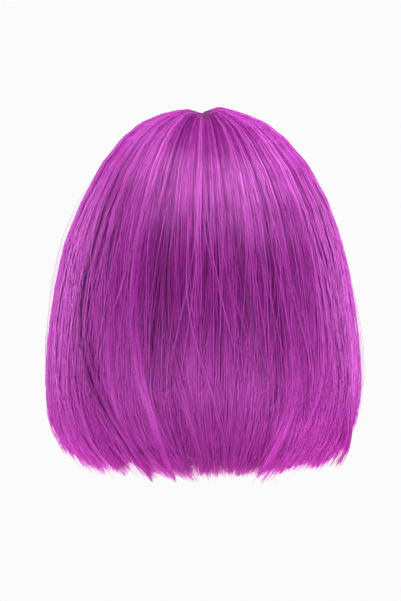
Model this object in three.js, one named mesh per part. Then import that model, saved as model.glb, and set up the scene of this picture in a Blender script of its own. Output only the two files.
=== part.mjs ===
// A rounded bob wig, in millimetres: a net cap that fits the head, an elastic band that runs on below the
// cap's rim, and straight hair in two layers. The outer hair falls from a centre parting on the crown over
// a fringe, two sides and the back. The under hair is sewn round the lower cap and fills the skirt from
// inside. All tips curl in.
//
// Frame: +Z up, the wearer faces -Y and their left is +X. The origin is the top of the head, which is the
// apex of the cap's inner face. A turn is the angle round the head in degrees: 0 is the back, 90 the left
// ear, 180 the forehead.

import * as THREE from "three";

// The head that the cap fits
const HEAD_WIDTH = 152;
const HEAD_LENGTH = 194;
const HEAD_DEPTH = 88; // from the top of the head down to its widest level

// The cap and its band
const CAP_WALL = 1.5;
const BAND_WALL = 1.5;
const BAND_HEIGHT = 12;
const RIM_GAP = 0.4; // between the cap's rim and the band

// How far the hair stands off the head, and how far it falls from the top of the head
const CROWN_FULLNESS = 20.8;
const SIDE_FULLNESS = 43;
const BACK_FULLNESS = 28;
const FRONT_FULLNESS = 12;
const HAIR_DROP = 250;
const FRINGE_DROP = 98;

// The parting, measured from the head's axis
const PARTING_BACK = 14;
const PARTING_FRONT = 50;
const PARTING_WIDTH = 2.4;
const PARTING_DEPTH = 6.5; // how far the hair sinks into it
const PARTING_REACH = 14; // how far the sunk hair runs on either side
const PARTING_FALL = 12; // from the crown down to the parting's front end

// Walls of the hair, and the room between its pieces
const TIP_WALL = 2.5;
const UNDER_WALL = 9;
const SEAT_GAP = 1.3; // between the hair and the cap that it is sewn to
const LAYER_GAP = 1.8; // between the outer hair and the under hair
const SECTION_GAP = 1.1; // between neighbours in one layer

// Locks, and the curl at the hem
const LOCK_DEPTH = 4.2;
const TUFT_LENGTH = 9; // from the notch between two locks to the longer tip
const CURL_RISE = 62; // the length of hair that curls in
const CURL_IN = 15; // how far its tips go in
const FRINGE_CURL_IN = 4;
const CURL_POWER = 3;
const SWEEP = 6; // degrees that the tips swing towards the nape, or to the chin at the front

// Where the sections of hair meet and end, as turns in degrees
const FRINGE_EDGE = 147;
const SIDE_EDGE = 80;
const UNDER_EDGES = { side: 68, front: 138 };
const UNDER_TOP = 68; // how far below the top of the head the under hair is sewn on
const UNDER_SHORTER = 7; // how much shorter than the outer hair it falls

// The hair's path from the parting to the hem. "along" is the share of the strand, "dome" a share of the
// way from the hair's top to the head's widest level and "fall" of the way on to the hem. "side", "back"
// and "front" are shares of the widest reach that way, past the parting's own end, and "wall" is in shares
// of the crown's fullness.
const PATH = [
  { along: 0.0, dome: 0.0, fall: 0.0, side: 0.0, back: 0.0, front: 0.0, wall: 0.64 },
  { along: 0.08, dome: 0.058, fall: 0.0, side: 0.218, back: 0.2, front: 0.2, wall: 0.73 },
  { along: 0.15, dome: 0.137, fall: 0.0, side: 0.395, back: 0.395, front: 0.42, wall: 0.86 },
  { along: 0.215, dome: 0.26, fall: 0.0, side: 0.534, back: 0.57, front: 0.6, wall: 0.96 },
  { along: 0.295, dome: 0.447, fall: 0.0, side: 0.675, back: 0.735, front: 0.78, wall: 0.93 },
  { along: 0.39, dome: 0.699, fall: 0.0, side: 0.793, back: 0.865, front: 0.91, wall: 0.62 },
  { along: 0.5, dome: 1.0, fall: 0.0, side: 0.88, back: 0.95, front: 1.0, wall: 0.54 },
  { along: 0.62, dome: 1.0, fall: 0.247, side: 0.944, back: 0.99, front: 1.0, wall: 0.525 },
  { along: 0.745, dome: 1.0, fall: 0.494, side: 0.987, back: 1.0, front: 0.93, wall: 0.51 },
  { along: 0.87, dome: 1.0, fall: 0.747, side: 1.0, back: 0.985, front: 0.85, wall: 0.475 },
  { along: 1.0, dome: 1.0, fall: 1.0, side: 0.992, back: 0.965, front: 0.78, wall: 0.4 },
];

// How far the hem falls as a share of the hair's drop, and how far down the band's lower edge lies as a
// share of the head's depth. Both are the same on the two sides.
const HEM = [
  { turn: 0, drop: 0.938 },
  { turn: 40, drop: 0.936 },
  { turn: 80, drop: 0.966 },
  { turn: 115, drop: 0.985 },
  { turn: 180, drop: 1.004 },
];
const RIM = [
  { turn: 0, drop: 1.66 },
  { turn: 35, drop: 1.58 },
  { turn: 65, drop: 1.32 },
  { turn: 85, drop: 1.06 },
  { turn: 104, drop: 1.22 },
  { turn: 122, drop: 0.96 },
  { turn: 150, drop: 0.62 },
  { turn: 180, drop: 0.54 },
];

// Shapes that the locks take in turn. "wide" is a share of the mean width, "high" of the lock's depth,
// "reach" of the tuft's length, "lean" tells which edge of the tuft is longer, and "drift" is its left
// edge's wander in degrees.
const LOCKS = [
  { wide: 1.15, high: 1.0, reach: 0.9, lean: 0.6, drift: 0.9 },
  { wide: 0.8, high: 0.55, reach: 0.5, lean: -0.5, drift: -0.7 },
  { wide: 1.0, high: 0.85, reach: 1.0, lean: 0.2, drift: 0.5 },
  { wide: 1.3, high: 1.0, reach: 0.7, lean: -0.7, drift: -1.1 },
  { wide: 0.75, high: 0.4, reach: 0.3, lean: 0.5, drift: 0.4 },
  { wide: 1.05, high: 0.9, reach: 0.95, lean: -0.3, drift: 1.2 },
  { wide: 0.9, high: 0.65, reach: 0.6, lean: 0.8, drift: -0.6 },
];

// The outer hair and the under hair, section by section. "first" is the row of LOCKS that a section starts
// with.
const mirrored = (turn) => 360 - turn;
const OUTER_SECTIONS = [
  { name: "hair_back", from: -SIDE_EDGE, to: SIDE_EDGE, locks: 22, first: 0, rows: 16 },
  { name: "hair_left", from: SIDE_EDGE, to: FRINGE_EDGE, locks: 9, first: 3, rows: 18 },
  { name: "fringe", from: FRINGE_EDGE, to: mirrored(FRINGE_EDGE), locks: 8, first: 5, rows: 13, isFringe: true },
  { name: "hair_right", from: mirrored(FRINGE_EDGE), to: mirrored(SIDE_EDGE), locks: 9, first: 1, rows: 18 },
];
const UNDER_SECTIONS = [
  { name: "under_hair_back", from: -UNDER_EDGES.side, to: UNDER_EDGES.side, locks: 12, first: 2, rows: 10 },
  { name: "under_hair_left", from: UNDER_EDGES.side, to: UNDER_EDGES.front, locks: 6, first: 4, rows: 10 },
  {
    name: "under_hair_right",
    from: mirrored(UNDER_EDGES.front),
    to: mirrored(UNDER_EDGES.side),
    locks: 6,
    first: 6,
    rows: 10,
  },
];

// Shares of the path over which one form passes into the next
const PARTING_FADES = 0.12; // from the sunk parting to the full crown
const FALL_FADES = 0.5; // from the parting that falls forward to hair that hangs level
const LOCKS_RISE = 0.3; // from the smooth roots to the full depth of the locks
const WALL_TURNS = 0.2; // from a wall that hangs straight down at the parting to one square to the surface
const UNDER_MAKES_ROOM = 0.1; // from hair on the cap to hair with the under hair inside it
const WANDER = { from: 0.15, full: 0.6 }; // from straight locks to the full drift of their edges

const CRESTS = [
  { share: 1 / 3, side: 1 },
  { share: 2 / 3, side: -1 },
];
const CAP_COLUMNS = 48;
const CAP_ROWS = 9;
const BAND_ROWS = 2;

const { degToRad, lerp, smoothstep } = THREE.MathUtils;

const halfWidth = HEAD_WIDTH / 2;
const halfLength = HEAD_LENGTH / 2;
const sideReach = halfWidth + SIDE_FULLNESS;
const backReach = halfLength + BACK_FULLNESS;
const frontReach = halfLength + FRONT_FULLNESS;
const capRoom = Math.max(CAP_WALL, BAND_WALL) + SEAT_GAP;

// The path's rows in millimetres, with drops measured down from the top of the head
const path = PATH.map((row) => ({
  along: row.along,
  drop: row.dome * (CROWN_FULLNESS + HEAD_DEPTH) + row.fall * (HAIR_DROP - HEAD_DEPTH) - CROWN_FULLNESS,
  side: row.side * sideReach,
  back: lerp(PARTING_BACK, backReach, row.back),
  front: lerp(PARTING_FRONT, frontReach, row.front),
  wall: row.wall * CROWN_FULLNESS,
}));
const strandLength = path.reduce(
  (sum, row, i) => sum + (i ? Math.hypot(row.side - path[i - 1].side, row.drop - path[i - 1].drop) : 0),
  0,
);

// Reads one column of a table at a value of its key column, on a smooth curve through the rows.
function readTable(rows, key, column, value) {
  const last = rows.length - 1;
  const above = rows.findIndex((row) => row[key] > value);
  const i = above < 0 ? last - 1 : Math.max(above - 1, 0);
  const slope = (a, b) => (rows[b][column] - rows[a][column]) / (rows[b][key] - rows[a][key]);
  const tangent = (k) => slope(Math.max(k - 1, 0), Math.min(k + 1, last));
  if (value > rows[last][key]) return rows[last][column] + tangent(last) * (value - rows[last][key]);
  const step = rows[i + 1][key] - rows[i][key];
  const s = (value - rows[i][key]) / step;
  return (
    (2 * s ** 3 - 3 * s ** 2 + 1) * rows[i][column] +
    (s ** 3 - 2 * s ** 2 + s) * step * tangent(i) +
    (3 * s ** 2 - 2 * s ** 3) * rows[i + 1][column] +
    (s ** 3 - s ** 2) * step * tangent(i + 1)
  );
}

const alongAtDrop = (drop) => readTable(path, "drop", "along", drop);
const rootAlong = (PARTING_WIDTH / 2 / path[1].side) * path[1].along;
const underStart = alongAtDrop(UNDER_TOP);

// A turn from 0 at the back to 180 at the front, the same on both sides
const unsigned = (turn) => Math.abs(((turn + 180) % 360) - 180);
const hemAlong = (turn) => alongAtDrop(HAIR_DROP * readTable(HEM, "turn", "drop", unsigned(turn)));

// A point of the smooth outer surface, with no locks. "style" tells where its tips lie and how far they
// curl in.
function surfacePoint(turn, along, style) {
  const curl = Math.max(0, 1 - ((style.endAt(turn) - along) * strandLength) / CURL_RISE);
  const angle = degToRad(turn - SWEEP * Math.sin(degToRad(2 * turn)) * curl);
  const ahead = Math.cos(angle) < 0;
  const inward = style.curlIn * curl ** CURL_POWER;
  const side = readTable(path, "along", "side", along) - inward;
  const length = readTable(path, "along", ahead ? "front" : "back", along) - inward;
  const x = side * Math.sin(angle);
  const nearParting = 1 - smoothstep(Math.abs(x), 0, PARTING_REACH);
  const sunk = PARTING_DEPTH * nearParting * (1 - smoothstep(along, 0, PARTING_FADES));
  const fallen = ahead ? PARTING_FALL * Math.cos(angle) ** 2 * (1 - smoothstep(along, 0, FALL_FADES)) : 0;
  const z = -readTable(path, "along", "drop", along) - sunk - fallen;
  return new THREE.Vector3(x, length * Math.cos(angle), z);
}

// The direction from the surface into the hair: straight down at the parting, and square to the surface
// elsewhere
function inwardAt(turn, along, style) {
  const step = { along: 0.02, turn: 1 };
  const middle = Math.max(along, step.along);
  const between = (a, b) => surfacePoint(...b, style).sub(surfacePoint(...a, style));
  const down = between([turn, middle - step.along], [turn, middle + step.along]);
  const round = between([turn - step.turn, middle], [turn + step.turn, middle]);
  const square = down.cross(round).normalize();
  return new THREE.Vector3(0, 0, -1).lerp(square, smoothstep(along, 0, WALL_TURNS)).normalize();
}

// Pushes a point away from the head to where it has some room outside it.
function clearOfHead(point, room) {
  const centre = new THREE.Vector3(0, 0, -HEAD_DEPTH);
  const reach = new THREE.Vector3(halfWidth + room, halfLength + room, HEAD_DEPTH + room);
  const offset = point.clone().sub(centre);
  const share = offset.clone().divide(reach).length();
  return share < 1 ? centre.addScaledVector(offset, 1 / share) : point;
}

// A point some depth under the smooth surface, kept outside the cap and the band
function pointInHair(turn, along, style, depth, room) {
  const point = surfacePoint(turn, along, style).addScaledVector(inwardAt(turn, along, style), depth);
  return clearOfHead(point, room);
}

// Joins two grids of points, each a list of columns, into one closed wall. The grids may differ in columns
// and rows. A grid whose last column is its first again makes a ring, and a row of equal points makes a
// pole.
function wallBetween(outer, inner, ring = false) {
  const positions = [];
  const triangles = [];
  const known = new Map();
  const indexOf = (point) => {
    const key = point.toArray().map((value) => Math.round(value * 1e4)).join();
    if (!known.has(key)) known.set(key, positions.push(point) - 1);
    return known.get(key);
  };
  const triangle = (a, b, c) => {
    if (a !== b && b !== c && c !== a) triangles.push(a, b, c);
  };
  const sheet = (grid, flipped) => {
    for (let i = 0; i + 1 < grid.length; i++) {
      for (let j = 0; j + 1 < grid[i].length; j++) {
        const [a, b, c, d] = [grid[i][j], grid[i][j + 1], grid[i + 1][j + 1], grid[i + 1][j]];
        const corners = flipped ? [a, c, b, a, d, c] : [a, b, c, a, c, d];
        triangle(...corners.slice(0, 3));
        triangle(...corners.slice(3));
      }
    }
  };
  const bridge = (a, b) => {
    let [i, j] = [0, 0];
    while (i + 1 < a.length || j + 1 < b.length) {
      const stepOnA = j + 1 === b.length || (i + 1) / (a.length - 1) <= (j + 1) / (b.length - 1);
      if (stepOnA && i + 1 < a.length) {
        triangle(a[i], a[i + 1], b[j]);
        i += 1;
      } else {
        triangle(a[i], b[j + 1], b[j]);
        j += 1;
      }
    }
  };
  const outside = outer.map((column) => column.map(indexOf));
  const inside = inner.map((column) => column.map(indexOf));
  sheet(outside, true);
  sheet(inside, false);
  bridge(outside.map((column) => column[0]).reverse(), inside.map((column) => column[0]).reverse());
  bridge(outside.map((column) => column.at(-1)), inside.map((column) => column.at(-1)));
  if (!ring) {
    bridge(outside[0], inside[0]);
    bridge([...outside.at(-1)].reverse(), [...inside.at(-1)].reverse());
  }
  const geometry = new THREE.BufferGeometry().setFromPoints(positions).setIndex(triangles);
  geometry.computeVertexNormals();
  return geometry;
}

// The edges between a section's locks: each one's turn at the parting, its wander and the lock that starts
// there
function lockEdges(section) {
  const shapes = Array.from({ length: section.locks }, (_, i) => LOCKS[(section.first + i) % LOCKS.length]);
  const total = shapes.reduce((sum, shape) => sum + shape.wide, 0);
  const edges = [];
  let turn = section.from;
  for (const shape of shapes) {
    edges.push({ turn, drift: edges.length ? shape.drift : 0, shape });
    turn += ((section.to - section.from) * shape.wide) / total;
  }
  edges.push({ turn: section.to, drift: 0 });
  return edges;
}

// A column at each lock's edge and two on its crest: how far it lies from one edge to the next, how deep it
// is sunk as a share of the lock's depth, and how far its tip falls past the notch.
function lockColumns(section) {
  const edges = lockEdges(section);
  return edges.flatMap((edge, i) => {
    const atEdge = { left: edge, right: edge, share: 0, sunk: 1, tuft: 0 };
    if (i + 1 === edges.length) return [atEdge];
    const onCrest = ({ share, side }) => ({
      left: edge,
      right: edges[i + 1],
      share,
      sunk: 1 - edge.shape.high,
      tuft: (edge.shape.reach * TUFT_LENGTH * (1 + side * edge.shape.lean)) / (1 + Math.abs(edge.shape.lean)),
    });
    return [atEdge, ...CRESTS.map(onCrest)];
  });
}

// The turn of a column at some way along the path, with the wander of the edges beside it
function columnTurn(column, along) {
  const wander = smoothstep(along, WANDER.from, WANDER.full) * Math.sin(2 * Math.PI * along);
  const at = (edge) => edge.turn + edge.drift * wander;
  return lerp(at(column.left), at(column.right), column.share);
}

// Moves a section's first and last column away from its neighbours by half of the gap between them.
function withSideGaps(grid) {
  const shift = (column, next) =>
    column.map((point, j) => {
      const inwards = next[j].clone().sub(point).setZ(0).normalize();
      return point.clone().addScaledVector(inwards, SECTION_GAP / 2);
    });
  return [shift(grid[0], grid[1]), ...grid.slice(1, -1), shift(grid.at(-1), grid.at(-2))];
}

// One section of hair between an outer face with locks and a plain inner face. "start" is where it begins
// along the path, and the two depths tell how far each face lies under the smooth surface.
function hairSection(section, style, start, topDepth, innerDepth) {
  const columns = lockColumns(section);
  const faceOf = (column, wall, depthAt) =>
    Array.from({ length: section.rows }, (_, j) => {
      const end = style.endAt(column.left.turn) - (TUFT_LENGTH - column.tuft) / strandLength;
      const along = lerp(start, end, j / (section.rows - 1));
      const turn = columnTurn(column, along);
      return pointInHair(turn, along, style, depthAt(turn, along), style.roomAt(along) + wall);
    });
  const outer = columns.map((column) =>
    faceOf(column, TIP_WALL, (turn, along) => {
      const risen = smoothstep(along, start, start + LOCKS_RISE);
      return topDepth(turn, along) + LOCK_DEPTH * column.sunk * risen;
    }),
  );
  const inner = columns.filter((column) => column.share === 0).map((column) => faceOf(column, 0, innerDepth));
  return wallBetween(withSideGaps(outer), withSideGaps(inner));
}

// The outer hair starts at the parting and thins out along its curl.
function outerWall(turn, along, style) {
  const end = style.endAt(turn);
  const thinned = smoothstep(along, end - CURL_RISE / strandLength, end);
  return lerp(readTable(path, "along", "wall", along), LOCK_DEPTH + TIP_WALL, thinned);
}

// It leaves room between itself and the cap from where the under hair starts, which is not under the
// fringe.
function outerStyle(section) {
  if (section.isFringe) {
    return { endAt: () => alongAtDrop(FRINGE_DROP), curlIn: FRINGE_CURL_IN, roomAt: () => capRoom };
  }
  const madeAt = underStart - UNDER_MAKES_ROOM;
  const underRoom = (along) => (TIP_WALL + LAYER_GAP) * smoothstep(along, madeAt, underStart);
  return { endAt: hemAlong, curlIn: CURL_IN, roomAt: (along) => capRoom + underRoom(along) };
}

function outerHair(section) {
  const style = outerStyle(section);
  return hairSection(section, style, rootAlong, () => 0, (turn, along) => outerWall(turn, along, style));
}

// The under hair starts on the cap and lies inside the outer hair.
function underHair(section) {
  const outer = outerStyle(section);
  const endAt = (turn) => outer.endAt(turn) - UNDER_SHORTER / strandLength;
  const style = { endAt, curlIn: outer.curlIn, roomAt: () => capRoom };
  const topDepth = (turn, along) => outerWall(turn, along, outer) + LAYER_GAP;
  const innerDepth = (turn, along) => topDepth(turn, along) + UNDER_WALL;
  return hairSection(section, style, underStart, topDepth, innerDepth);
}

// A point of the head's surface, or of a wall outside it. "fall" is the angle down from the top, in
// radians.
function headPoint(turn, fall, room) {
  return new THREE.Vector3(
    (halfWidth + room) * Math.sin(degToRad(turn)) * Math.sin(fall),
    (halfLength + room) * Math.cos(degToRad(turn)) * Math.sin(fall),
    (HEAD_DEPTH + room) * Math.cos(fall) - HEAD_DEPTH,
  );
}

const rimFall = (turn) => Math.acos(1 - readTable(RIM, "turn", "drop", unsigned(turn)));

// A wall round the head between two heights, which are given as angles down from the top for each turn
function headWall(thickness, rows, topFall, bottomFall) {
  const face = (room) =>
    Array.from({ length: CAP_COLUMNS + 1 }, (_, i) => {
      const turn = (360 * i) / CAP_COLUMNS;
      return Array.from({ length: rows }, (_, j) =>
        headPoint(turn, lerp(topFall(turn), bottomFall(turn), j / (rows - 1)), room),
      );
    });
  return wallBetween(face(thickness), face(0), true);
}

function cap() {
  const bottomFall = (turn) => rimFall(turn) - (BAND_HEIGHT + RIM_GAP) / HEAD_DEPTH;
  return headWall(CAP_WALL, CAP_ROWS, () => 0, bottomFall);
}

function capBand() {
  const topFall = (turn) => rimFall(turn) - BAND_HEIGHT / HEAD_DEPTH;
  return headWall(BAND_WALL, BAND_ROWS, topFall, rimFall);
}

const finish = (color, roughness) => () => new THREE.MeshStandardMaterial({ color, roughness, metalness: 0 });
const outerMaterial = finish(0xa8439f, 0.36);
const underMaterial = finish(0x7d2a76, 0.42);
const netMaterial = finish(0x2b2230, 0.85);
const elasticMaterial = finish(0x201a24, 0.75);

const wig = new THREE.Group();

function add(name, geometry, material) {
  const mesh = new THREE.Mesh(geometry, material);
  mesh.name = name;
  wig.add(mesh);
}

add("cap", cap(), netMaterial());
add("cap_band", capBand(), elasticMaterial());
for (const section of OUTER_SECTIONS) add(section.name, outerHair(section), outerMaterial());
for (const section of UNDER_SECTIONS) add(section.name, underHair(section), underMaterial());

export default wig;
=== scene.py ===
"""Looks of the bob wig: straight glossy fibre in locks over a net cap, in metres, in the CAD's own frame.

+Z is up, the wearer faces -Y and the origin is the top of the head. A turn is the angle round the head in
degrees: 0 is the back, 90 the wearer's left ear and 180 the forehead. "along" is the share of a strand from
the parting to the hem.
"""

import math

import bpy
import numpy as np
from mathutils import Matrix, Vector


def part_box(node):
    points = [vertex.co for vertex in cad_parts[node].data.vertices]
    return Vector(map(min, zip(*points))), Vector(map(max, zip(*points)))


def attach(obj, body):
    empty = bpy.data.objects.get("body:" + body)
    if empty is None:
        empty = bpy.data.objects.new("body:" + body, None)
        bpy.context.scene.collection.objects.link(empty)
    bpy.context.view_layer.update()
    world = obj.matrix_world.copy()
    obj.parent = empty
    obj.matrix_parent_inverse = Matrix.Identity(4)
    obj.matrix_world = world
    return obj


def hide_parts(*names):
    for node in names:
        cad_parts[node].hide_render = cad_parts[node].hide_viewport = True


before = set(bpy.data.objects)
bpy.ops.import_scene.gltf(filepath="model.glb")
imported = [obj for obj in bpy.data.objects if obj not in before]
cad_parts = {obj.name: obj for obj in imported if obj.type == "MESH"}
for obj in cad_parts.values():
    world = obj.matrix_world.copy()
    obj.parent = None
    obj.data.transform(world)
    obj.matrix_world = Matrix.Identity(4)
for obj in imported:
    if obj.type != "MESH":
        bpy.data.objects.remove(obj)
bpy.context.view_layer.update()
rng = np.random.default_rng(11)

# The hair's sizes in metres and degrees. BACK_REACH is read from the frame, and the others are near the part's.
CROWN_TOP = 0.0205
SIDE_REACH = 0.119
BACK_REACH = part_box("hair_back")[1].y
FRONT_REACH = 0.109
HEAD_REACH = np.array([0.076, 0.097, 0.088])
HEAD_DEPTH = 0.088
HAIR_DROP = 0.25
FRINGE_DROP = 0.098
PARTING_BACK = 0.014
PARTING_FRONT = 0.05
PARTING_DEPTH = 0.0065
PARTING_REACH = 0.013
PARTING_FALL = 0.012
CAP_ROOM = 0.0024  # from the head to the innermost hair
CURL_RISE = 0.062
CURL_IN = 0.015
FRINGE_CURL_IN = 0.004
CURL_POWER = 3
SWEEP = 6  # degrees that the tips swing towards the nape, or to the chin at the front
SIDE_EDGE = 80  # the turns where one section of hair meets the next
FRINGE_EDGE = 147
UNDER_SIDE = 68
UNDER_FRONT = 138
PARTING_FADES = 0.12  # the share of the path where the parting's dent ends
FALL_FADES = 0.5  # the share of the path where the crown's slope to the front ends
SLANT = 0.6  # how far the tips at the back all swing one way, as a share of each layer's sweep
SLANT_MIDDLE = -5
SLANT_REACH = 45
TIP_WALL = 0.0067
LAYER_GAP = 0.0018
UNDER_WALL = 0.009

# The hair's path, a row for each share of its length. The other columns are shares of the dome's height, of the
# fall below the dome, of the reach to the side, the back and the front, and of the crown's height for the wall.
COLUMNS = ("along", "dome", "fall", "side", "back", "front", "wall")
PATH = np.array(
    [
        (0.0, 0.0, 0.0, 0.0, 0.0, 0.0, 0.64),
        (0.08, 0.058, 0.0, 0.218, 0.2, 0.2, 0.73),
        (0.15, 0.137, 0.0, 0.395, 0.395, 0.42, 0.86),
        (0.215, 0.26, 0.0, 0.534, 0.57, 0.6, 0.96),
        (0.295, 0.447, 0.0, 0.675, 0.735, 0.78, 0.93),
        (0.39, 0.699, 0.0, 0.793, 0.865, 0.91, 0.62),
        (0.5, 1.0, 0.0, 0.88, 0.95, 1.0, 0.54),
        (0.62, 1.0, 0.247, 0.944, 0.99, 1.0, 0.525),
        (0.745, 1.0, 0.494, 0.987, 1.0, 0.93, 0.51),
        (0.87, 1.0, 0.747, 1.0, 0.985, 0.85, 0.475),
        (1.0, 1.0, 1.0, 0.992, 0.965, 0.78, 0.4),
    ]
)
HEM_TURNS = np.array([0, 40, 80, 115, 180])
HEM_DROPS = np.array([0.921, 0.935, 0.952, 0.978, 1.004])
RIM_TURNS = np.array([0, 35, 65, 85, 104, 122, 150, 180])
RIM_DROPS = np.array([1.66, 1.58, 1.32, 1.06, 1.22, 0.96, 0.62, 0.54])


def smooth_curve(keys, values, at):
    """A smooth curve through a table's rows, running on straight past its end."""
    slopes = np.diff(values) / np.diff(keys)
    inner = (values[2:] - values[:-2]) / (keys[2:] - keys[:-2])
    tangents = np.concatenate(([slopes[0]], inner, [slopes[-1]]))
    i = np.clip(np.searchsorted(keys, at, side="right") - 1, 0, len(keys) - 2)
    step = keys[i + 1] - keys[i]
    s = (at - keys[i]) / step
    curve = (
        (2 * s**3 - 3 * s**2 + 1) * values[i]
        + (s**3 - 2 * s**2 + s) * step * tangents[i]
        + (3 * s**2 - 2 * s**3) * values[i + 1]
        + (s**3 - s**2) * step * tangents[i + 1]
    )
    return np.where(at > keys[-1], values[-1] + tangents[-1] * (at - keys[-1]), curve)


def in_metres():
    """The path's columns in metres, by name."""
    share = {name: PATH[:, i] for i, name in enumerate(COLUMNS)}
    dome = share["dome"] * (CROWN_TOP + HEAD_DEPTH)
    fall = share["fall"] * (HAIR_DROP - HEAD_DEPTH)
    return {
        "along": share["along"],
        "drop": dome + fall - CROWN_TOP,
        "side": share["side"] * SIDE_REACH,
        "back": PARTING_BACK + share["back"] * (BACK_REACH - PARTING_BACK),
        "front": PARTING_FRONT + share["front"] * (FRONT_REACH - PARTING_FRONT),
        "wall": share["wall"] * CROWN_TOP,
    }


path = in_metres()
STRAND_LENGTH = np.hypot(np.diff(path["side"]), np.diff(path["drop"])).sum()


def read_path(column, along):
    return smooth_curve(path["along"], path[column], along)


def along_at_drop(drop):
    return smooth_curve(path["drop"], path["along"], np.asarray(drop, float))


def unsigned(turn):
    """A turn from 0 at the back to 180 at the front, the same on both sides."""
    return np.abs((np.asarray(turn, float) + 180) % 360 - 180)


def hem_along(turn):
    """Where the hem lies along the path at each turn."""
    return along_at_drop(HAIR_DROP * smooth_curve(HEM_TURNS, HEM_DROPS, unsigned(turn)))


FRINGE_END = float(along_at_drop(FRINGE_DROP))
UNDER_START = float(along_at_drop(0.068))


def smoothstep(x, low, high):
    s = np.clip((x - low) / (high - low), 0, 1)
    return s * s * (3 - 2 * s)


def unit(vectors):
    return vectors / np.maximum(np.linalg.norm(vectors, axis=-1, keepdims=True), 1e-9)


def surface(turn, along, end, curl_in):
    """Points of the smooth outer surface. end is where the curl ends, and curl_in how far it goes in."""
    curl = np.clip(1 - (end - along) * STRAND_LENGTH / CURL_RISE, 0, 1.3)
    angle = np.radians(turn - SWEEP * np.sin(np.radians(2 * turn)) * curl)
    inward = curl_in * curl**CURL_POWER
    side = read_path("side", along) - inward
    length = np.where(np.cos(angle) < 0, read_path("front", along), read_path("back", along)) - inward
    x = side * np.sin(angle)
    near = 1 - smoothstep(np.abs(x), 0, PARTING_REACH)
    sunk = PARTING_DEPTH * near * (1 - smoothstep(along, 0, PARTING_FADES))
    ahead = np.minimum(np.cos(angle), 0) ** 2
    fallen = PARTING_FALL * ahead * (1 - smoothstep(along, 0, FALL_FADES))
    return np.stack([x, length * np.cos(angle), -read_path("drop", along) - sunk - fallen], -1)


def inward_at(turn, along, end, curl_in):
    """Directions from the surface into the hair."""
    middle = np.maximum(along, 0.02)
    down = surface(turn, middle + 0.02, end, curl_in) - surface(turn, middle - 0.02, end, curl_in)
    across = surface(turn + 1, middle, end, curl_in) - surface(turn - 1, middle, end, curl_in)
    square = unit(np.cross(down, across))
    share = smoothstep(along, 0, 0.2)[..., None]
    return unit(square * share + np.array([0, 0, -1.0]) * (1 - share))


def clear_of_head(points, room):
    """Moves points out of the head and the cap, to where they have some room outside it."""
    centre = np.array([0, 0, -HEAD_DEPTH])
    offset = points - centre
    share = np.linalg.norm(offset / (HEAD_REACH + room), axis=-1, keepdims=True)
    return centre + offset / np.clip(share, 1e-6, 1)


def in_hair(turn, along, end, curl_in, depth, room=CAP_ROOM):
    """Points some depth under the smooth surface, and the direction into the hair there."""
    inward = inward_at(turn, along, end, curl_in)
    points = surface(turn, along, end, curl_in) + inward * depth[..., None]
    return clear_of_head(points, room), inward


def outer_wall(along, end):
    thinned = smoothstep(along, end - CURL_RISE / STRAND_LENGTH, end)
    return read_path("wall", along) * (1 - thinned) + TIP_WALL * thinned


def lined_up(name, positions, quads, triangles, quad_uv, triangle_uv):
    """A mesh object from whole arrays, with its map."""
    mesh = bpy.data.meshes.new(name)
    mesh.vertices.add(len(positions))
    mesh.vertices.foreach_set("co", positions.astype(np.float32).ravel())
    loops = np.concatenate((quads.ravel(), triangles.ravel())).astype(np.int32)
    mesh.loops.add(len(loops))
    mesh.loops.foreach_set("vertex_index", loops)
    mesh.polygons.add(len(quads) + len(triangles))
    starts = np.concatenate((np.arange(len(quads)) * 4, len(quads) * 4 + np.arange(len(triangles)) * 3))
    mesh.polygons.foreach_set("loop_start", starts.astype(np.int32))
    layer = mesh.uv_layers.new(name="OFBake")
    uv = np.concatenate((quad_uv.reshape(-1, 2), triangle_uv.reshape(-1, 2)))
    layer.data.foreach_set("uv", uv.astype(np.float32).ravel())
    mesh.update(calc_edges=True)
    mesh.shade_smooth()
    piece = bpy.data.objects.new(name, mesh)
    bpy.context.scene.collection.objects.link(piece)
    return piece


def dress(piece, material, replaced=()):
    piece.data.materials.append(material)
    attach(piece, "root")
    if replaced:
        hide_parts(*replaced)


class Bunches:
    """Bunches of strands side by side round the head: their edges, and how each bends, stands and ends."""

    def __init__(self, width, seed, first=-180, last=180):
        draw = np.random.default_rng(seed)
        count = round((last - first) / width)
        steps = draw.uniform(0.5, 1.6, count)
        self.edges = first + (last - first) * np.concatenate(([0], np.cumsum(steps) / steps.sum()))
        self.phase = draw.uniform(0, 2 * math.pi, (count, 3))
        self.lift = draw.uniform(0, 1, (2, count))[0]
        self.reach, self.shade, self.drift, self.flick = np.clip(draw.normal(0, 1, (4, count)), -1.5, 1.5)

    def find(self, turn):
        """Which bunch each turn is in, how far it is from the middle from -1 to 1, and half of its width."""
        i = np.clip(np.searchsorted(self.edges, turn, side="right") - 1, 0, len(self.edges) - 2)
        half = (self.edges[i + 1] - self.edges[i]) / 2
        return i, (turn - self.edges[i] - half) / half, half

    def wave(self, i, along):
        """A slow sideways wave for each bunch, from -1 to 1."""
        a, b, c = (self.phase[i, k][:, None] for k in range(3))
        return np.sin(5 * along + a) * 0.6 + np.sin(9 * along + b) * 0.3 + np.sin(17 * along + c) * 0.1


def map_height(along):
    """Where the map shows each share of the path."""
    return 0.02 + 0.92 * along


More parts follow.
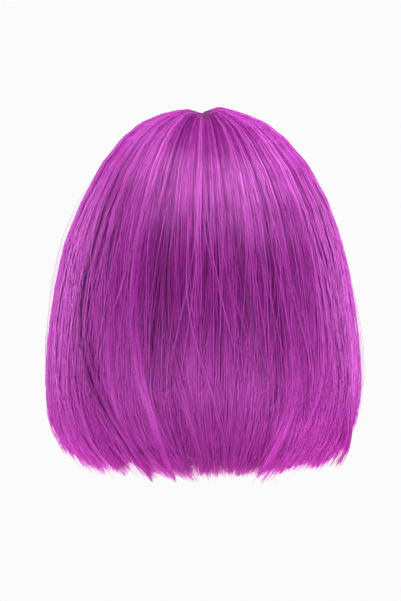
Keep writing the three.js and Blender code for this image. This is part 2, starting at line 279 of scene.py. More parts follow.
def tubes(points, inward, radius, shade, along):
    """Closed three-sided tubes with pointed tips. Returns positions, faces and their places on the map."""
    strands, rings = points.shape[:2]
    tangent = unit(np.gradient(points, axis=1))
    side = unit(np.cross(tangent, inward))
    top = unit(np.cross(tangent, side))
    corners = []
    for angle in np.radians((0, 120, 240)):
        corners.append(points + (top * math.cos(angle) - side * math.sin(angle)) * radius[..., None])
    positions = np.stack(corners, 2).reshape(-1, 3)
    index = np.arange(strands * rings * 3).reshape(strands, rings, 3)
    turned = np.roll(index, -1, axis=2)
    quads = np.stack([index[:, :-1], turned[:, :-1], turned[:, 1:], index[:, 1:]], -1)
    u = np.clip(shade, 0.02, 0.98)
    v = map_height(np.clip(along, 0, 1.04))
    half = 0.004
    near, far = u[:, :-1], u[:, 1:]
    high, low = v[:, :-1], v[:, 1:]
    quad_uv = np.stack(
        [
            np.stack([near - half, high], -1),
            np.stack([near + half, high], -1),
            np.stack([far + half, low], -1),
            np.stack([far - half, low], -1),
        ],
        2,
    )
    quad_uv = np.repeat(quad_uv[:, :, None], 3, axis=2)
    ends = []
    for ring, order in ((0, (0, 2, 1)), (-1, (0, 1, 2))):
        across, height = u[:, ring], v[:, ring]
        corner_uv = [(across - half, height), (across + half, height), (across, height + 0.008)]
        ends.append((index[:, ring][:, order], np.stack([np.stack(c, -1) for c in corner_uv], 1)))
    triangles = np.concatenate([end[0] for end in ends])
    triangle_uv = np.concatenate([end[1] for end in ends])
    return positions, quads.reshape(-1, 4), triangles, quad_uv.reshape(-1, 4, 2), triangle_uv


def strand_piece(name, groups, material):
    """One piece from several groups of strands."""
    parts = [tubes(*group) for group in groups]
    offsets = np.cumsum([0] + [len(part[0]) for part in parts[:-1]])
    piece = lined_up(
        name,
        np.concatenate([part[0] for part in parts]),
        np.concatenate([part[1] + offset for part, offset in zip(parts, offsets)]),
        np.concatenate([part[2] + offset for part, offset in zip(parts, offsets)]),
        np.concatenate([part[3] for part in parts]),
        np.concatenate([part[4] for part in parts]),
    )
    dress(piece, material)
    return piece


LONG = np.array([0, 0.022, 0.052, 0.09, 0.14, 0.2, 0.28, 0.38, 0.51, 0.66, 0.8, 0.91, 1.0])
SHORT = np.array([0, 0.12, 0.3, 0.52, 0.74, 0.9, 1.0])
STUB = np.array([0, 0.35, 0.7, 1.0])

# How the strands of each layer lie, from the deepest to the top one, in metres and degrees. Their tone is a
# share of the map's width: lower in the deep layer as painted shade and higher in the top one as painted light.
DEEP = {
    "lock_width": 5.0, "wisp_width": 2.4, "gather": 0.12, "wander": 0.6, "drift": 0.8, "stray": 0.8,
    "sweep": 3.0, "depth": (0.002, 0.0042), "relief": 0.0012, "lift": 0.001, "flick": 0.001, "bow": 0.0,
    "tone": -0.2,
}
MIDDLE = {
    "lock_width": 4.0, "wisp_width": 1.8, "gather": 0.18, "wander": 1.1, "drift": 1.6, "stray": 1.5,
    "sweep": 7.0, "depth": (0.0004, 0.0022), "relief": 0.0018, "lift": 0.0012, "flick": 0.0012, "bow": 0.0003,
    "tone": 0.0,
}
TOP = {
    "lock_width": 3.1, "wisp_width": 1.5, "gather": 0.25, "wander": 1.4, "drift": 2.2, "stray": 1.9,
    "sweep": 11.0, "depth": (-0.0002, 0.001), "relief": 0.0018, "lift": 0.0012, "flick": 0.0018, "bow": 0.0006,
    "tone": 0.1,
}
CROSSING = TOP | {
    "gather": 0.0, "wander": 1.5, "stray": 8.0, "depth": (-0.0012, -0.0002), "relief": 0, "tone": 0.55,
}
FLYING = TOP | {
    "gather": 0.0, "stray": 3.0, "depth": (-0.001, 0.001), "relief": 0, "bow": 0.0045, "tone": 0.3,
}
SWEPT = TOP | {"wander": 0.3, "drift": 0.3, "stray": 0.5, "sweep": 0.0, "depth": (-0.0009, 0.0003), "lift": 0}

# Locks that swing across the others at the back: where each starts, how far it swings and between which shares
# of the path, how wide it is, how many strands it has, how far its tips stand out, and how light it is
SWINGS = (
    # turn, swing, begins, ends, width, strands, out, tone
    (6, -17, 0.5, 0.98, 0.7, 14, 0.0, 0.3),
    (26, -12, 0.5, 0.98, 4.0, 90, 0.0, 0.06),
    (50, -24, 0.58, 0.97, 5.0, 90, 0.0, 0.08),
    (35, -7, 0.6, 0.98, 3.0, 60, 0.0, 0.1),
    (14, -16, 0.52, 1.0, 3.5, 80, 0.0, 0.04),
    (-33, 9, 0.72, 1.0, 4.0, 80, 0.0, 0.06),
    (-14, -8, 0.45, 0.8, 3.0, 60, 0.0, 0.08),
    (-48, 13, 0.66, 1.0, 4.0, 80, 0.0, 0.08),
    (-63, -5, 0.84, 1.0, 3.0, 46, 0.007, 0.06),
    (70, -16, 0.62, 0.98, 4.0, 70, 0.0, 0.08),
    (-74, 15, 0.62, 0.98, 4.0, 70, 0.0, 0.08),
)

# Partings between locks at the back, which lie deeper and get painted shade, where each one lies and how wide
# it is
GROOVES = (
    # turn, half width, along, half length
    (28, 1.6, 0.66, 0.14),
    (41, 1.3, 0.76, 0.08),
    (0.5, 1.4, 0.6, 0.08),
    (-26.5, 1.4, 0.66, 0.08),
    (-44, 1.2, 0.6, 0.1),
    (58, 1.2, 0.62, 0.1),
    (13, 0.9, 0.72, 0.09),
    (-11, 0.9, 0.78, 0.08),
)
# Where the hair lies closer to the head, on the wearer's left at the crown and below it
FLATTER = (
    # turn, half width, along, half length, depth
    (80, 35, 0.33, 0.12, 0.0028),
    (85, 60, 0.03, 0.035, 0.0016),
)
bunches = {}


def bunches_of(layer, is_fringe):
    """The layer's locks and wisps, made once and shared by all sections but the fringe."""
    key = (layer["lock_width"], is_fringe)
    if key not in bunches:
        seed = 100 + len(bunches) * 2
        edges = (FRINGE_EDGE, 360 - FRINGE_EDGE) if is_fringe else (-180, 180)
        locks = Bunches(layer["lock_width"], seed, *edges)
        wisps = Bunches(layer["wisp_width"], seed + 1, *edges)
        bunches[key] = (locks, wisps)
    return bunches[key]


def flattened(turn, along):
    """How much deeper the hair lies at each point than the smooth surface."""
    deeper = np.zeros_like(turn)
    for at, half_width, middle, half_length, depth in FLATTER:
        near = ((turn - at) / half_width) ** 2 + ((along - middle) / half_length) ** 2
        deeper = deeper + depth * np.exp(-near)
    return deeper


def in_grooves(turn, along):
    """How far into a parting each point lies, from 0 to 1: the strands there lie deeper and get painted shade.
    """
    deepest = np.zeros_like(turn)
    for at, half_width, middle, half_length in GROOVES:
        near = ((turn - at) / half_width) ** 2 + ((along - middle) / half_length) ** 2
        deepest = np.maximum(deepest, np.exp(-near))
    return deepest


# How far apart tips end, in metres: by lock, by wisp, by how far a strand is from the middle of each, and by
# strand
LOCK_UNEVEN = 0.0012
WISP_UNEVEN = 0.0022
WISP_POINT = 0.003
LOCK_POINT = 0.0008
STRAND_UNEVEN = 0.0016

# Depths in metres of the upper ends of strands that start below the parting, and of the dark partings
EMERGING_DEPTH = 0.0032
GROOVE_DEPTH = 0.0012
BELOW_PARTING = 0.06  # the share of the path from which a strand's start counts as below the parting

# How the tone changes, as shares of the map's width: at random by lock, wisp and strand, and by painted shade
# and painted light
LOCK_TONE = 0.2
WISP_TONE = 0.13
STRAND_TONE = 0.08
# Painted shade where strands lie deeper: between locks, between wisps and in the locks that lie low
SUNK_SHADE = 20  # for each metre of depth
# Painted light on the tips, as if lit from below: most at the back, less towards the sides, and past the ears
# the tips are darker still
BACK_TIPS_LIGHT = 0.55
SIDE_TIPS_LIGHT_LOST = 0.42
FRONT_TIPS_LIGHT_LOST = 0.45
# painted shade half way down the hair
MIDDLE_SHADE = 0.1
# painted shade in the partings between locks
GROOVE_SHADE = 0.2


class Group:
    """Strands of one layer, spread over a range of turns, each in its own place in a lock and in a wisp."""

    def __init__(self, first, last, count, layer, rings, starts, is_fringe):
        self.first, self.last, self.count = first, last, count
        self.layer, self.rings, self.is_fringe = layer, rings, is_fringe
        self.locks, self.wisps = bunches_of(layer, is_fringe)
        self.turn = rng.uniform(first, last, count)
        self.start = rng.uniform(*starts, count)
        self.lock, self.in_lock, self.lock_half = self.locks.find(self.turn)
        self.wisp, self.in_wisp, self.wisp_half = self.wisps.find(self.turn)
        self.end = self.hem_at(self.turn)
        tip = self.end + self.unevenness() / STRAND_LENGTH
        self.along = self.start[:, None] + (tip - self.start)[:, None] * rings
        self.late = smoothstep(self.along, 0.12, 0.8)
        self.last_part = smoothstep(self.along, self.end[:, None] - 0.3, self.end[:, None])

    def hem_at(self, turn):
        return np.full_like(turn, FRINGE_END) if self.is_fringe else hem_along(turn)

    def unevenness(self):
        """How much longer or shorter each strand is than the hem, in metres."""
        by_lock = LOCK_UNEVEN * self.locks.reach[self.lock]
        by_wisp = WISP_UNEVEN * self.wisps.reach[self.wisp]
        uneven = by_lock + by_wisp - WISP_POINT * self.in_wisp**2 - LOCK_POINT * self.in_lock**2
        return uneven - np.abs(rng.normal(0, STRAND_UNEVEN, self.count))

    def gathered(self):
        """How far strands draw together into locks, and their tips into wisps."""
        into_lock = self.layer["gather"] * (self.in_lock * self.lock_half)[:, None] * self.late
        return into_lock + 0.85 * (self.in_wisp * self.wisp_half)[:, None] * self.last_part

    def swept(self):
        """How far the tips swing towards the nape or the chin, and aslant at the back."""
        aslant = np.sin(np.radians(2 * self.turn))
        aslant = aslant + SLANT * np.exp(-(((self.turn - SLANT_MIDDLE) / SLANT_REACH) ** 2))
        drift = np.abs(self.locks.drift[self.lock])
        towards = 0 if self.is_fringe else aslant * (0.4 + 0.6 * drift) * self.layer["sweep"]
        share = np.clip((self.along - self.end[:, None] + 0.24) / 0.24, 0, 1.1) ** 2.4
        return np.reshape(towards, (-1, 1)) * share

    def turns(self, swing):
        """The turn of each point of the strands."""
        layer = self.layer
        waves = self.locks.wave(self.lock, self.along) + 0.5 * self.wisps.wave(self.wisp, self.along)
        wave = layer["wander"] * waves * self.late
        drift = layer["drift"] * self.locks.drift[self.lock] + layer["stray"] * rng.normal(0, 1, self.count)
        bent = self.turn[:, None] - self.gathered() + wave + drift[:, None] * self.late**2 - self.swept()
        if swing:
            bent = bent + swing[0] * smoothstep(self.along, *swing[1:])
        if self.is_fringe:
            bent = np.clip(bent, self.first + 0.3, self.last - 0.3)
        return bent

    def sunk(self):
        """How much deeper strands lie between locks, between wisps and in the locks that lie low."""
        relief = self.layer["relief"]
        lock_round = relief * (self.in_lock**2)[:, None] * smoothstep(self.along, 0.05, 0.4)
        wisp_round = 0.4 * relief * (self.in_wisp**2)[:, None] * self.late
        low = (1 - self.locks.lift[self.lock])[:, None] * smoothstep(self.along, 0.08, 0.5)
        return lock_round + wisp_round + self.layer["lift"] * low

    def depths(self, bent, groove, out):
        """The depth of each point under the smooth surface."""
        layer = self.layer
        own = rng.uniform(*layer["depth"], self.count)
        flick = self.locks.flick[self.lock] + 0.5 * self.wisps.flick[self.wisp]
        flicked = layer["flick"] * flick[:, None] * self.last_part**3
        is_low = (self.start > BELOW_PARTING)[:, None]
        emerging = EMERGING_DEPTH * is_low * (1 - smoothstep(self.rings, 0, 0.3))
        bowed = layer["bow"] * rng.uniform(0, 1, self.count)[:, None] * np.sin(math.pi * self.rings) ** 2
        stands_out = bowed + out * self.last_part**3 * rng.uniform(0.5, 1, self.count)[:, None]
        deep = own[:, None] + self.sunk() + flicked + emerging - stands_out + GROOVE_DEPTH * groove
        return deep + flattened(bent, self.along)

    def widths(self, radius):
        thin = 1 - 0.6 * smoothstep(self.rings, 0.8, 1.0) - 0.3 * (1 - smoothstep(self.rings, 0, 0.15))
        return radius * rng.uniform(0.75, 1.25, self.count)[:, None] * thin

    def tones(self, hem, groove):
        """The tone of each point: paler at the back's tips as painted light, darker half way down, between
        locks and in the partings as painted shade.
        """
        # the layer's tone, lower in the deep layer as painted shade and higher in the top one as painted light,
        # and tone that differs at random
        own = 0.5 + self.layer["tone"] + rng.normal(0, STRAND_TONE, self.count)
        own = own + LOCK_TONE * self.locks.shade[self.lock] + WISP_TONE * self.wisps.shade[self.wisp]
        from_back = unsigned(self.turn)
        # painted light on the tips, most at the back and less towards the sides
        tip_light = BACK_TIPS_LIGHT - SIDE_TIPS_LIGHT_LOST * smoothstep(from_back, 25, 65)
        if not self.is_fringe:
            tip_light = tip_light - FRONT_TIPS_LIGHT_LOST * smoothstep(from_back, 70, 105)
        tips = smoothstep(self.along, hem - 0.34, hem - 0.06)
        # painted shade half way down
        middle = np.exp(-(((self.along - 0.5) / 0.15) ** 2))
        # painted shade where strands lie deeper, and painted light on the tips
        tone = own[:, None] - SUNK_SHADE * self.sunk() + tip_light[:, None] * tips
        # painted shade half way down and in the partings
        return tone - MIDDLE_SHADE * middle - GROOVE_SHADE * groove


def lay(
    first, last, count, layer, rings, starts, is_fringe=False, radius=0.00022, base=None, swing=None, out=0
):
    """A group of strands of one layer, spread over a range of turns. starts is the range where they begin."""
    group = Group(first, last, count, layer, rings, starts, is_fringe)
    bent = group.turns(swing)
    hem = group.hem_at(bent)
    groove = np.zeros_like(bent) if is_fringe or base else in_grooves(bent, group.along)
    deep = group.depths(bent, groove, out)
    if base:
        deep = deep + base(group.along, hem)
    points, inward = in_hair(bent, group.along, hem, FRINGE_CURL_IN if is_fringe else CURL_IN, deep)
    return points, inward, group.widths(radius), group.tones(hem, groove), group.along


def groups_of(layers, first, last, counts, is_fringe=False):
    """Strands of some layers over a range of turns, some from the parting and some from lower down."""
    groups = []
    for layer, long_count, short_count in zip(layers, counts[::2], counts[1::2]):
        low_starts = (0.05, 0.22) if is_fringe else (0.2, 0.55)
        rings = SHORT if is_fringe else LONG
        groups.append(lay(first, last, long_count, layer, rings, (0.0, 0.025), is_fringe))
        groups.append(lay(first, last, short_count, layer, SHORT, low_starts, is_fringe))
    return groups


def hem_filler(first, last, count):
    """Short stubs that fill the thickness of the hem."""
    return lay(first, last, count, DEEP | {"tone": 0.0, "depth": (0.002, 0.0062)}, STUB, (0.76, 0.8))


def loose_strands(first, last, crossing, flying):
    """Single strands that cross the others or stand off them."""
    return [
        lay(first, last, crossing, CROSSING, LONG, (0.1, 0.5), radius=0.0002),
        lay(first, last, flying, FLYING, LONG, (0.15, 0.5), radius=0.00013),
    ]


def shell(
    name, first, last, columns, rows, start, stop, top, inner, tone, material, replaced, is_fringe=False
):
    """A closed wall of hair under the strands, with a groove and a shade for each fibre."""
    turn = np.linspace(first + 0.25, last - 0.25, columns)
    end = np.full(columns, FRINGE_END) if is_fringe else hem_along(turn)
    along = start + (stop(end) - start)[:, None] * np.linspace(0, 1, rows)
    turns = np.broadcast_to(turn[:, None], along.shape)
    ends = np.broadcast_to(end[:, None], along.shape)
    curl_in = FRINGE_CURL_IN if is_fringe else CURL_IN
    groove = rng.uniform(0, 0.0007, columns)[:, None] * smoothstep(along, 0, 0.1)
    outside, _ = in_hair(turns, along, ends, curl_in, top(along, ends) + groove, CAP_ROOM + 0.0018)
    inside, _ = in_hair(turns, along, ends, curl_in, inner(along, ends) - groove, CAP_ROOM)
    count = columns * rows
    index = np.arange(count).reshape(columns, rows)
    a, b, c, d = index[:-1, :-1], index[1:, :-1], index[1:, 1:], index[:-1, 1:]
    quads = [np.stack([a, b, c, d], -1).reshape(-1, 4), np.stack([d, c, b, a], -1).reshape(-1, 4) + count]
    for edge in (index[:, 0][::-1], index[:, -1], index[0], index[-1][::-1]):
        quads.append(np.stack([edge[:-1], edge[1:], edge[1:] + count, edge[:-1] + count], -1))
    shade = np.clip(0.4 + tone + rng.normal(0, 0.16, columns), 0.05, 0.9)
    v = map_height(along)
    outer_uv = np.stack([np.broadcast_to(shade[:, None], v.shape), v], -1)
    face_uv = np.concatenate([outer_uv.reshape(-1, 2), outer_uv.reshape(-1, 2)])
    quads = np.concatenate(quads)
    uv = face_uv[quads]
    uv[:, :, 0] += np.array([-0.003, 0.003, 0.003, -0.003])
    none = np.zeros((0, 3), int)
    positions = np.concatenate([outside.reshape(-1, 3), inside.reshape(-1, 3)])
    piece = lined_up(name, positions, quads, none, uv, np.zeros((0, 3, 2)))
    dress(piece, material, replaced)
    return piece


def ramp(nodes, stops):
    """A colour ramp node from a table of places and linear colours."""
    node = nodes.new("ShaderNodeValToRGB")
    elements = node.color_ramp.elements
    while len(elements) < len(stops):
        elements.new(0.5)
    for element, (place, colour) in zip(elements, stops):
        element.position = place
        element.color = (*colour, 1)
    return node


def fibre(name, darkest, middle, palest, roughness, gloss):
    """Fibre whose colour follows the map: its shade across, and along it the painted light and shade from root
    to tip.
    """
    material = bpy.data.materials.new(name)
    material.use_nodes = True
    nodes, links = material.node_tree.nodes, material.node_tree.links
    shader = nodes["Principled BSDF"]
    place = nodes.new("ShaderNodeUVMap")
    place.uv_map = "OFBake"
    split = nodes.new("ShaderNodeSeparateXYZ")
    links.new(place.outputs["UV"], split.inputs["Vector"])
    across = ramp(nodes, [(0, darkest), (0.5, middle), (1, palest)])
    links.new(split.outputs["X"], across.inputs["Fac"])
    # painted light and shade from root to tip
    down = ramp(nodes, ROOT_TO_TIP_LIGHT_AND_SHADE)
    links.new(split.outputs["Y"], down.inputs["Fac"])
    mix = nodes.new("ShaderNodeMix")
    mix.data_type = "RGBA"
    mix.blend_type = "MULTIPLY"
    mix.inputs["Factor"].default_value = 1
    links.new(across.outputs["Color"], mix.inputs[6])
    links.new(down.outputs["Color"], mix.inputs[7])
    links.new(mix.outputs[2], shader.inputs["Base Color"])
    shader.inputs["Roughness"].default_value = roughness
    shader.inputs["Specular IOR Level"].default_value = gloss
    shader.inputs["Specular Tint"].default_value = (1, 0.3, 1, 1)
    shader.inputs["IOR"].default_value = 1.7
    shader.inputs["Subsurface Weight"].default_value = 0.3
    shader.inputs["Subsurface Radius"].default_value = (1, 0.35, 0.95)
    shader.inputs["Subsurface Scale"].default_value = 0.002
    return material


# The share of its colour that fibre shows from root to tip: painted shade at the roots by the parting, a
# painted highlight below the crown, less green lower down, and painted light on the tips at the hem, as if lit
# from below
ROOT_TO_TIP_LIGHT_AND_SHADE = (
    (0.0, (0.64, 0.64, 0.64)),
    (0.05, (0.9, 0.9, 0.9)),
    (0.14, (1.12, 1.12, 1.12)),
    (0.2, (1.14, 1.14, 1.14)),
    (0.3, (1, 1, 1)),
    (0.5, (1, 0.75, 1)),
    (0.74, (1.06, 0.65, 1.02)),
    (0.83, (1.4, 0.72, 1.3)),
    (0.9, (3.6, 2.0, 3.15)),
)
FIBRES = (
    # name, darkest, middle, palest, roughness, gloss
    ("outer_fibre", (0.048, 0.0005, 0.042), (0.136, 0.0012, 0.118), (0.285, 0.038, 0.26), 0.4, 0.8),
    ("under_fibre", (0.044, 0.0005, 0.039), (0.118, 0.0014, 0.104), (0.255, 0.027, 0.23), 0.45, 0.4),
    # a shaded copy of the outer fibre for the deep strands and walls: less gloss and less green in its pale
    # shades, as painted shade
    ("deep_shaded_fibre", (0.055, 0.0004, 0.049), (0.13, 0.001, 0.115), (0.27, 0.01, 0.245), 0.5, 0.15),
)
outer_fibre, under_fibre, deep_shaded_fibre = [fibre(*row) for row in FIBRES]


def outer_shell(name, first, last, columns, node):
    return shell(
        name, first, last, columns, 26, 0.0015, lambda end: end - 0.045,
        lambda along, end: 0.0042 + 0 * along, outer_wall, 0.0, deep_shaded_fibre, (node,),
    )


outer_shell("hair_back_body", -SIDE_EDGE, SIDE_EDGE, 240, "hair_back")
outer_shell("hair_left_body", SIDE_EDGE, FRINGE_EDGE, 100, "hair_left")
outer_shell("hair_right_body", -FRINGE_EDGE, -SIDE_EDGE, 100, "hair_right")
shell(
    "fringe_body", FRINGE_EDGE, 360 - FRINGE_EDGE, 100, 14, 0.0015, lambda end: end - 0.03,
    lambda along, end: 0.004 + 0 * along, outer_wall, 0.0, deep_shaded_fibre, ("fringe",), True,
)
for name, first, last, columns in (
    ("under_hair_back", -UNDER_SIDE, UNDER_SIDE, 200),
    ("under_hair_left", UNDER_SIDE, UNDER_FRONT, 100),
    ("under_hair_right", -UNDER_FRONT, -UNDER_SIDE, 100),
):
    shell(
        name + "_body", first, last, columns, 16, UNDER_START, lambda end: end - 0.06,
        lambda along, end: outer_wall(along, end) + LAYER_GAP + 0.001,
        lambda along, end: outer_wall(along, end) + LAYER_GAP + UNDER_WALL - 0.001,
        0.0, under_fibre, (name,),
    )


def swung_locks(first, last):
    """The swinging locks that start within a range of turns."""
    groups = []
    for turn, swing, begins, ends, width, strands, out, tone in SWINGS:
        if first <= turn < last:
            layer = SWEPT | {"tone": tone}
            start = (begins - 0.25, begins - 0.05)
            spread = (turn - width / 2, turn + width / 2)
            groups.append(lay(*spread, strands, layer, LONG, start, swing=(swing, begins, ends), out=out))
    return groups


# Outer strands, piece by piece: the range of turns, and how many strands of the deep layer, then of the middle
# and the top one, start at the parting and lower down
STRANDS = (
    # name, first, last, deep strands, outer strands
    ("back_strands_right", -SIDE_EDGE, 0, (440, 420), (600, 440, 780, 360)),
    ("back_strands_left", 0, SIDE_EDGE, (440, 420), (600, 440, 780, 360)),
    ("left_strands", SIDE_EDGE, FRINGE_EDGE, (280, 300), (400, 300, 500, 240)),
    ("right_strands", -FRINGE_EDGE, -SIDE_EDGE, (280, 300), (400, 300, 500, 240)),
)
deep_groups = []
for name, first, last, deep_counts, counts in STRANDS:
    deep_groups += groups_of([DEEP], first, last, deep_counts)
    strand_piece(name, groups_of([MIDDLE, TOP], first, last, counts), outer_fibre)
strand_piece("deep_strands", deep_groups, deep_shaded_fibre)
# Loose ends, piece by piece: the range of turns, and how many stubs, crossing strands and flyaways there are
LOOSE = (
    # name, first, last, stubs, crossing, flying
    ("back_locks_right", -SIDE_EDGE, 0, 520, 84, 20),
    ("back_locks_left", 0, SIDE_EDGE, 520, 84, 20),
    ("left_locks", SIDE_EDGE, FRINGE_EDGE, 400, 24, 24),
    ("right_locks", -FRINGE_EDGE, -SIDE_EDGE, 400, 24, 24),
)
for name, first, last, fillers, crossing, flying in LOOSE:
    groups = [hem_filler(first, last, fillers)]
    groups += loose_strands(first, last, crossing, flying)
    groups += swung_locks(first, last)
    strand_piece(name, groups, outer_fibre)
FRINGE_COUNTS = (260, 200, 320, 200, 380, 120)
fringe_groups = groups_of([DEEP, MIDDLE, TOP], FRINGE_EDGE, 360 - FRINGE_EDGE, FRINGE_COUNTS, True)
strand_piece("fringe_strands", fringe_groups, outer_fibre)


def in_under_hair(along, end):
    return outer_wall(along, end) + LAYER_GAP


UNDER_STRANDS = (
    # first, last, strands
    (-UNDER_SIDE, UNDER_SIDE, 560),
    (UNDER_SIDE, UNDER_FRONT, 300),
    (-UNDER_FRONT, -UNDER_SIDE, 300),
)
UNDER = DEEP | {"depth": (0.007, 0.009)}
UNDER_STUBS = DEEP | {"depth": (0.0, 0.009)}
under_groups = []
for first, last, count in UNDER_STRANDS:
    under_groups.append(lay(first, last, count, UNDER, SHORT, (UNDER_START, 0.5), base=in_under_hair))
    under_groups.append(lay(first, last, count, UNDER_STUBS, STUB, (0.74, 0.78), base=in_under_hair))
strand_piece("under_strands", under_groups, under_fibre)


# The cap's wall, its band and the rows of fibre sewn to it
CAP_WALL = 0.0015
BAND_HEIGHT = 0.012
RIM_GAP = 0.0004
WEFT_ROWS = 11


def rim_fall(turn):
    """How far down the cap's rim lies at each turn, as an angle from the top of the head."""
    return np.arccos(1 - smooth_curve(RIM_TURNS, RIM_DROPS, unsigned(turn)))


def head_points(turn, fall, room):
    """Points on the head's surface, or on a wall some room outside it."""
    reach = HEAD_REACH + np.asarray(room)[..., None]
    across = np.stack([np.sin(turn) * np.sin(fall), np.cos(turn) * np.sin(fall), np.cos(fall)], -1)
    return across * reach - np.array([0, 0, HEAD_DEPTH])


def head_wall(name, columns, rows, top, bottom, relief):
    """A closed wall round the head. relief lifts its inner face by a share of its rows and columns."""
    turn = np.linspace(0, 360, columns + 1)[:-1]
    down = np.linspace(0, 1, rows)
    fall = top(turn)[:, None] + (bottom(turn) - top(turn))[:, None] * down
    turns = np.broadcast_to(np.radians(turn)[:, None], fall.shape)
    inner_room = relief(turn[:, None] / 360, down[None, :]) + 0 * fall
    faces = [head_points(turns, fall, np.full_like(fall, CAP_WALL)), head_points(turns, fall, inner_room)]
    index = np.arange(columns * rows).reshape(columns, rows)
    nxt = np.roll(index, -1, axis=0)
    a, b, c, d = index[:, :-1], nxt[:, :-1], nxt[:, 1:], index[:, 1:]
    count = columns * rows
    outside = np.stack([a, b, c, d], -1).reshape(-1, 4)
    inside = np.stack([d, c, b, a], -1).reshape(-1, 4) + count
    lower = np.stack([index[:, -1], nxt[:, -1], nxt[:, -1] + count, index[:, -1] + count], -1)
    upper = np.stack([nxt[:, 0], index[:, 0], index[:, 0] + count, nxt[:, 0] + count], -1)
    across = np.arange(columns)[:, None] / columns * np.ones(rows - 1)
    step = 1 / columns
    near, far = across, across + step
    high, low = down[:-1] + 0 * across, down[1:] + 0 * across
    square = np.stack([np.stack([near, high], -1), np.stack([far, high], -1),
                       np.stack([far, low], -1), np.stack([near, low], -1)], 2).reshape(-1, 4, 2)
    outer_uv = square * (0.48, 0.94) + (0.01, 0.03)
    inner_uv = square[:, ::-1] * (0.48, 0.94) + (0.51, 0.03)
    edge = np.stack([near[:, 0], far[:, 0], far[:, 0], near[:, 0]], -1)
    lower_uv = np.stack([edge * 0.98 + 0.01, np.broadcast_to([0.975, 0.975, 0.995, 0.995], edge.shape)], -1)
    upper_uv = np.stack([edge * 0.98 + 0.01, np.broadcast_to([0.005, 0.005, 0.025, 0.025], edge.shape)], -1)
    positions = np.concatenate([face.reshape(-1, 3) for face in faces])
    quads = np.concatenate([outside, inside, lower, upper])
    uv = np.concatenate([outer_uv, inner_uv, lower_uv, upper_uv])
    return lined_up(name, positions, quads, np.zeros((0, 3), int), uv, np.zeros((0, 3, 2)))


def math_node(nodes, links, operation, first, second=None):
    """A maths node whose inputs are sockets or numbers."""
    node = nodes.new("ShaderNodeMath")
    node.operation = operation
    for socket, value in zip(node.inputs, (first, second)):
        if isinstance(value, bpy.types.NodeSocket):
            links.new(value, socket)
        elif value is not None:
            socket.default_value = value
    return node.outputs[0]


def woven(name, across, down, thread, ground, roughness, depth):
    """Cloth with threads both ways: a thread each 1/across and 1/down of the map, over a darker ground."""
    material = bpy.data.materials.new(name)
    material.use_nodes = True
    nodes, links = material.node_tree.nodes, material.node_tree.links
    shader = nodes["Principled BSDF"]
    place = nodes.new("ShaderNodeUVMap")
    place.uv_map = "OFBake"
    split = nodes.new("ShaderNodeSeparateXYZ")
    links.new(place.outputs["UV"], split.inputs["Vector"])
    waves = []
    for socket, repeats in ((split.outputs["X"], across), (split.outputs["Y"], down)):
        turned = math_node(nodes, links, "MULTIPLY", socket, repeats * 2 * math.pi)
        waves.append(math_node(nodes, links, "SINE", turned))
    threads = math_node(nodes, links, "MAXIMUM", *waves)
    colour = ramp(nodes, [(0.35, ground), (0.75, thread)])
    links.new(threads, colour.inputs["Fac"])
    links.new(colour.outputs["Color"], shader.inputs["Base Color"])
    bump = nodes.new("ShaderNodeBump")
    bump.inputs["Strength"].default_value = 0.6
    bump.inputs["Distance"].default_value = depth
    links.new(threads, bump.inputs["Height"])
    links.new(bump.outputs["Normal"], shader.inputs["Normal"])
    shader.inputs["Roughness"].default_value = roughness
    shader.inputs["Specular IOR Level"].default_value = 0.25
    return material


def weft_relief(around, down):
    """The cap's inner face lies on the head at its sewn rows and a little off it at the net between them."""
    row = np.abs(np.sin(math.pi * WEFT_ROWS * down))
    return 0.0008 * (1 - np.exp(-((1 - row) / 0.12) ** 2)) * smoothstep(down, 0.05, 0.12)


def rib_relief(around, down):
    """The band's inner face has upright ribs between two flat hems."""
    rib = 0.5 + 0.5 * np.cos(2 * math.pi * 180 * around)
    return 0.0005 * rib * smoothstep(np.minimum(down, 1 - down), 0.04, 0.12)


net = woven("stretch_net", 420, 150, (0.07, 0.04, 0.07), (0.02, 0.011, 0.022), 0.85, 0.0002)
elastic = woven("ribbed_elastic", 360, 24, (0.055, 0.037, 0.06), (0.02, 0.014, 0.024), 0.75, 0.0002)
cap_net = head_wall(
    "cap_net", 120, 56, lambda turn: 0 * turn + 0.002,
    lambda turn: rim_fall(turn) - (BAND_HEIGHT + RIM_GAP) / HEAD_DEPTH, weft_relief,
)
dress(cap_net, net, ("cap",))
band = head_wall(
    "elastic_band", 480, 8, lambda turn: rim_fall(turn) - BAND_HEIGHT / HEAD_DEPTH, rim_fall, rib_relief
)
dress(band, elastic, ("cap_band",))

FLOOR_Z = -0.312
CAMERA_DISTANCE = 1.1
CAMERA_ELEVATION = 10
CAMERA_TARGET = (0.0019, 0, -0.126)
SENSOR_WIDTH = 36
CAMERA_LENS = 87.9
FLOOR_GLOW = 0.973
BACKDROP_LIGHT = 0.26
LIGHTS = (
    # name, place, target, size, watts
    ("key", (-0.12, 0.66, 0.95), (0, 0, -0.06), (1.4, 0.9), 43),
    ("left_rim", (0.95, 0.1, 0.05), (0, 0, -0.1), (0.4, 0.9), 9.6),
    ("right_rim", (-0.95, 0.1, 0.05), (0, 0, -0.1), (0.4, 0.9), 9.7),
    ("front_fill", (0.25, -1.1, -0.12), (0, 0, -0.1), (0.9, 0.2), 14),
    ("low_fill", (0, 0.6, -0.29), (0, 0.06, -0.23), (0.9, 0.05), 3.2),
)


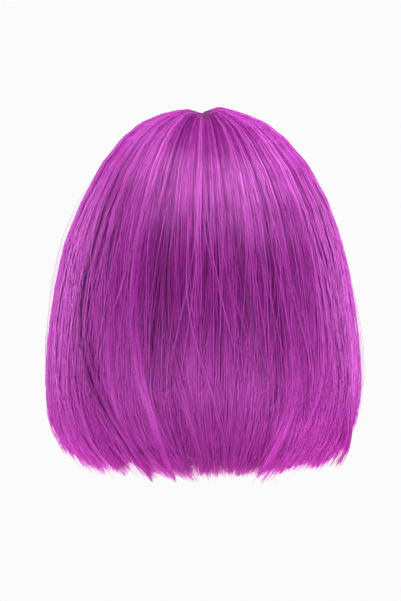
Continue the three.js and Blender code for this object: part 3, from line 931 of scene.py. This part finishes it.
def add_floor():
    """A floor that shows one pale tone, whatever light falls on it."""
    mesh = bpy.data.meshes.new("floor")
    side = 3
    corners = [(-side, -side, FLOOR_Z), (side, -side, FLOOR_Z), (side, side, FLOOR_Z), (-side, side, FLOOR_Z)]
    mesh.from_pydata(corners, [], [(0, 1, 2, 3)])
    floor = bpy.data.objects.new("floor", mesh)
    bpy.context.scene.collection.objects.link(floor)
    material = bpy.data.materials.new("pale_floor")
    material.use_nodes = True
    shader = material.node_tree.nodes["Principled BSDF"]
    shader.inputs["Base Color"].default_value = (0, 0, 0, 1)
    shader.inputs["Roughness"].default_value = 0.8
    shader.inputs["Specular IOR Level"].default_value = 0.0
    shader.inputs["Emission Color"].default_value = (1, 0.99, 1, 1)
    shader.inputs["Emission Strength"].default_value = FLOOR_GLOW
    mesh.materials.append(material)


def add_light(name, place, target, size, power):
    data = bpy.data.lights.new(name, "AREA")
    data.shape = "RECTANGLE"
    data.size, data.size_y = size
    data.energy = power
    light = bpy.data.objects.new(name, data)
    light.location = place
    light.visible_camera = False
    light.rotation_mode = "QUATERNION"
    light.rotation_quaternion = (Vector(target) - Vector(place)).to_track_quat("-Z", "Y")
    bpy.context.scene.collection.objects.link(light)


def add_camera():
    elevation = math.radians(CAMERA_ELEVATION)
    back = Vector((0, math.cos(elevation), math.sin(elevation)))
    data = bpy.data.cameras.new("camera")
    data.sensor_width = SENSOR_WIDTH
    data.lens = CAMERA_LENS
    camera = bpy.data.objects.new("camera", data)
    camera.location = Vector(CAMERA_TARGET) + back * CAMERA_DISTANCE
    camera.rotation_mode = "QUATERNION"
    camera.rotation_quaternion = (-back).to_track_quat("-Z", "Y")
    bpy.context.scene.collection.objects.link(camera)
    bpy.context.scene.camera = camera


def add_world():
    """A near white backdrop that lights the scene at part of its own brightness."""
    world = bpy.data.worlds.new("studio")
    world.use_nodes = True
    nodes, links = world.node_tree.nodes, world.node_tree.links
    background = nodes["Background"]
    background.inputs["Color"].default_value = (0.97, 0.97, 0.975, 1)
    seen = nodes.new("ShaderNodeLightPath").outputs["Is Camera Ray"]
    share = math_node(nodes, links, "MULTIPLY", seen, 1 - BACKDROP_LIGHT)
    links.new(math_node(nodes, links, "ADD", share, BACKDROP_LIGHT), background.inputs["Strength"])
    bpy.context.scene.world = world
    bpy.context.scene.view_settings.view_transform = "Standard"


add_floor()
add_camera()
add_world()
for row in LIGHTS:
    add_light(*row)
